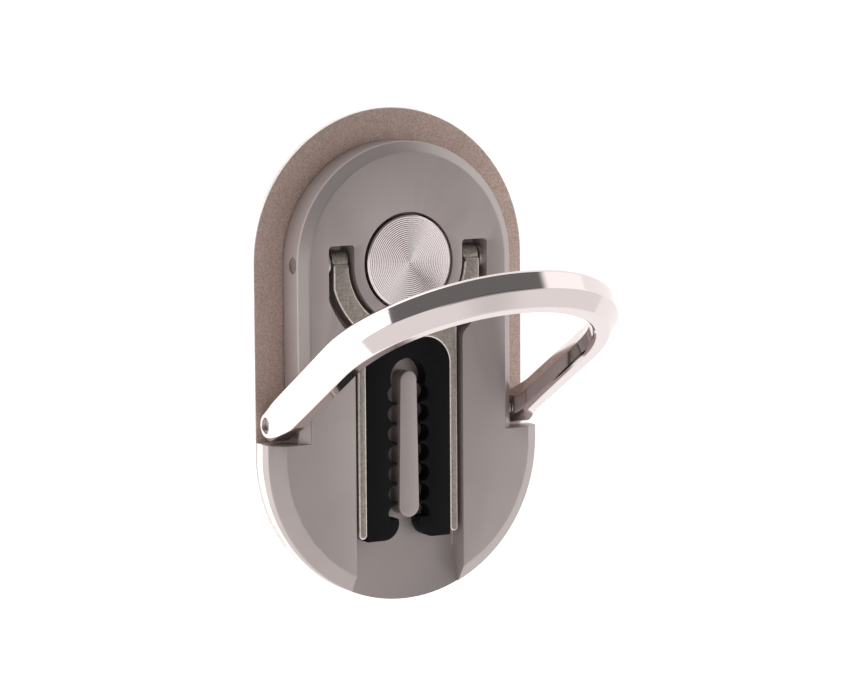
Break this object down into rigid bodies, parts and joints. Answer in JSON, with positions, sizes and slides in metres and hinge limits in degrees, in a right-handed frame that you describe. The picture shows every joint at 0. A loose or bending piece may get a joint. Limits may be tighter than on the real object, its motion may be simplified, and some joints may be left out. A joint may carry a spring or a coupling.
{
  "type": "phone ring holder with air vent clip",
  "caption": "Stick-on phone holder: a swivel body with a folding finger ring and a rubber-lined clip that swings out to grip an air vent blade.",
  "frame": {"origin": "centre of the adhesive face on the back of the plate", "axes": "+Z out of the holder's front, +Y along it towards the swivel pivot, +X to the right as seen from the front"},
  "size_m": [0.037, 0.06, 0.0366],
  "materials": {
    "adhesive": "acrylic foam tape",
    "plate": "bead blasted and anodised a warm grey, with a bright turned edge",
    "steel": "turned stainless steel",
    "slide_nylon": "moulded nylon",
    "lower_shell": "bright satin",
    "housing": "satin warm grey lacquer on a zinc die casting",
    "spun_cap": "fine concentric spun lines",
    "ring_chrome": "polished nickel chrome plating",
    "clip_metal": "tumbled nickel plating on a zinc die casting",
    "clip_rubber": "matt moulded rubber"
  },
  "bodies": {
    "base": {"adhesive_pad": "adhesive", "base_plate": "plate", "pivot_post": "steel", "slide_washer": "slide_nylon", "thrust_washer": "steel", "disc_spring": "steel", "pivot_cap": "spun_cap"},
    "swivel": {"swivel_base": "lower_shell", "base_screws": "steel", "swivel_housing": "housing", "ring_pin_left": "steel", "ring_pin_right": "steel", "ring_washer_left": "steel", "ring_washer_right": "steel", "clip_pin_left": "steel", "clip_pin_right": "steel", "clip_washer_left": "steel", "clip_washer_right": "steel"},
    "ring": {"ring": "ring_chrome"},
    "clip": {"vent_clip": "clip_metal", "vent_clip_rubber": "clip_rubber"}
  },
  "joints": [
    {"name": "swivel_turn", "type": "hinge", "parent": "base", "child": "swivel", "pos_m": [0, 0.0115, 0.0035], "axis": [0, 0, 1], "continuous": true},
    {"name": "ring_hinge", "type": "hinge", "parent": "swivel", "child": "ring", "pos_m": [0, -0.0074, 0.00355], "axis": [1, 0, 0], "range_deg": [-60, 30]},
    {"name": "clip_hinge", "type": "hinge", "parent": "swivel", "child": "clip", "pos_m": [0, 0.0116, 0.0038], "axis": [-1, 0, 0], "range_deg": [0, 75]}
  ]
}
